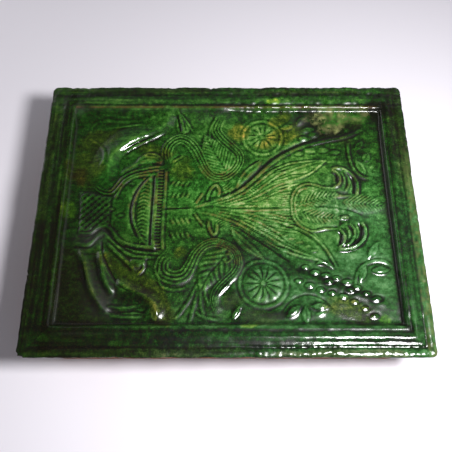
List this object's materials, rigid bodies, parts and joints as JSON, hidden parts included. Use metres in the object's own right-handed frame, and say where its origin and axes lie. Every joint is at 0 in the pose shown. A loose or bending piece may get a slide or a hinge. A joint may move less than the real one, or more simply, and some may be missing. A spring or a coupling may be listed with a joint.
{
  "type": "relief stove tile",
  "caption": "Rectangular green-glazed stove tile: moulded frame, vase of flowers in low relief, open collar on the back.",
  "frame": {"origin": "middle of the footprint, at the rim of the collar on which the tile lies face up", "axes": "+X along the long side, from the vase's foot to the flowers; +Y across the face; +Z out of the glazed face"},
  "size_m": [0.27, 0.208, 0.05],
  "materials": {
    "green_glaze": "gloss"
  },
  "bodies": {
    "root": {"stove_tile": "green_glaze"}
  },
  "joints": []
}
